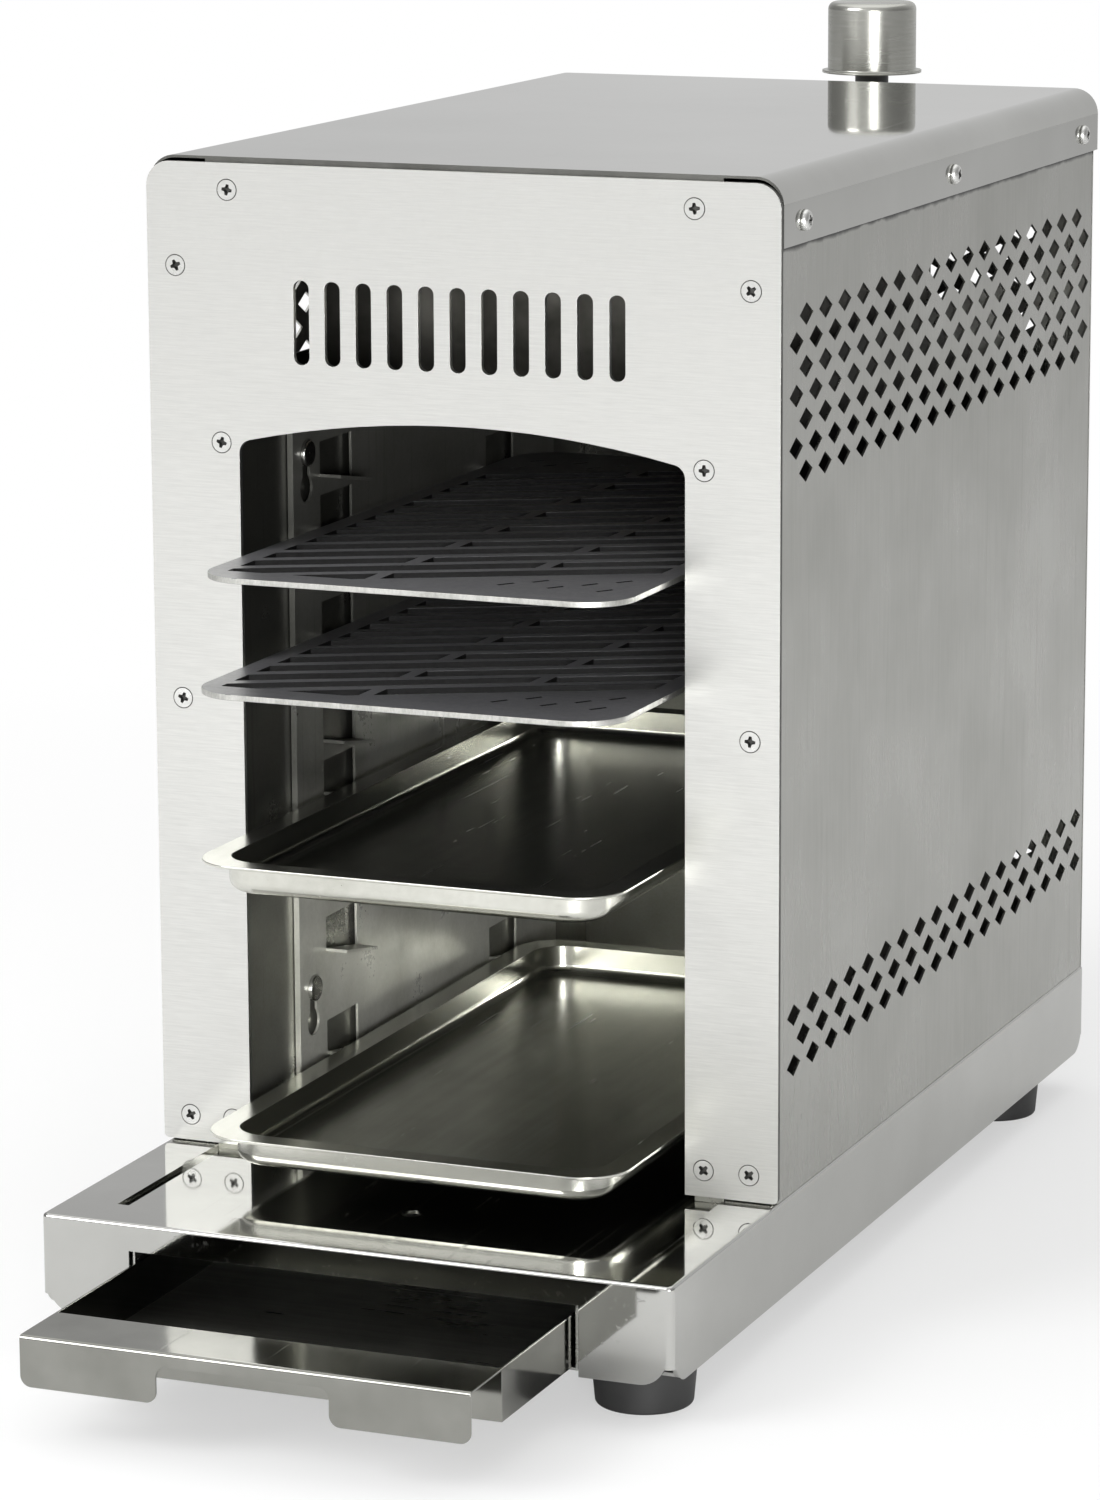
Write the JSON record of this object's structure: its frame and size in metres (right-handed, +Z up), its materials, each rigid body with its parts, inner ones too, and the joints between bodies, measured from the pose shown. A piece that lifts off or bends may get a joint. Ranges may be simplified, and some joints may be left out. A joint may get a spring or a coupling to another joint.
{
  "type": "infrared gas grill",
  "caption": "Upright stainless infrared gas grill with a ceiling burner, slide-in grates and trays on side racks, a grease drawer in its base and a gas valve knob at the rear.",
  "frame": {"origin": "on the floor, in the middle of the four feet", "axes": "+Z up, the open front faces -Y, +X to the right seen from the front"},
  "size_m": [0.2448, 0.6493, 0.4415],
  "materials": {
    "brushed_steel": "brushed",
    "polished_steel": "polished",
    "heat_tinted_steel": "satin",
    "galvanised_steel": "satin",
    "fastener_steel": "polished",
    "black_plate": "satin",
    "rubber": "matte",
    "brass": "satin",
    "copper": "satin",
    "ceramic": "matte",
    "dark_plastic": "matte",
    "lead_cover": "satin"
  },
  "bodies": {
    "housing": {"base_shell": "polished_steel", "foot_rail_left": "galvanised_steel", "foot_rail_right": "galvanised_steel", "foot_front_left": "rubber", "foot_front_right": "rubber", "foot_rear_left": "rubber", "foot_rear_right": "rubber", "drawer_runner_left": "polished_steel", "drawer_runner_right": "polished_steel", "front_panel": "brushed_steel", "side_panel_left": "brushed_steel", "side_panel_right": "brushed_steel", "rear_panel": "brushed_steel", "top_cover": "polished_steel", "heat_shield": "galvanised_steel", "chamber_liner_left": "heat_tinted_steel", "chamber_liner_right": "heat_tinted_steel", "chamber_rear_wall": "heat_tinted_steel", "chamber_ceiling": "heat_tinted_steel", "rack_left": "heat_tinted_steel", "rack_right": "heat_tinted_steel", "rack_studs": "fastener_steel", "burner_frame": "heat_tinted_steel", "burner_tiles": "ceramic", "burner_housing": "galvanised_steel", "mixing_tube": "galvanised_steel", "thermocouple": "fastener_steel", "spark_electrode": "ceramic", "thermocouple_lead": "copper", "ignition_lead": "lead_cover", "valve_bracket": "galvanised_steel", "valve_body": "brass", "valve_nut": "brass", "gas_inlet": "brass", "gas_pipe": "copper", "gas_jet": "brass", "front_panel_screws": "fastener_steel", "cover_screws": "fastener_steel", "rear_panel_screws": "fastener_steel", "side_footing_screws": "fastener_steel", "foot_screws": "fastener_steel", "bracket_screws": "fastener_steel"},
    "grease_drawer": {"grease_drawer": "polished_steel"},
    "grate_upper": {"grate_upper": "black_plate"},
    "grate_lower": {"grate_lower": "black_plate"},
    "tray_upper": {"tray_upper": "polished_steel"},
    "tray_lower": {"tray_lower": "polished_steel"},
    "valve_plug": {"valve_plug": "brass", "valve_spring": "fastener_steel"},
    "knob": {"valve_spindle": "fastener_steel", "knob_hub": "dark_plastic", "knob_cap": "polished_steel"}
  },
  "joints": [
    {"name": "drawer_slide", "type": "slide", "parent": "housing", "child": "grease_drawer", "axis": [0, 1, 0], "range_m": [-0.15, 0.0605]},
    {"name": "grate_upper_slide", "type": "slide", "parent": "housing", "child": "grate_upper", "axis": [0, 1, 0], "range_m": [-0.1, 0.0595]},
    {"name": "grate_lower_slide", "type": "slide", "parent": "housing", "child": "grate_lower", "axis": [0, 1, 0], "range_m": [-0.094, 0.066]},
    {"name": "tray_upper_slide", "type": "slide", "parent": "housing", "child": "tray_upper", "axis": [0, 1, 0], "range_m": [-0.095, 0.068]},
    {"name": "tray_lower_slide", "type": "slide", "parent": "housing", "child": "tray_lower", "axis": [0, 1, 0], "range_m": [-0.098, 0.065]},
    {"name": "knob_turn", "type": "hinge", "parent": "housing", "child": "valve_plug", "pos_m": [0, 0.316, 0.4], "axis": [0, 0, 1], "range_deg": [0, 190]},
    {"name": "knob_push", "type": "slide", "parent": "valve_plug", "child": "knob", "axis": [0, 0, -1], "range_m": [0, 0.003], "stiffness_N_per_m": 2000, "springref_m": -0.004, "deforming": ["valve_spring"]}
  ]
}
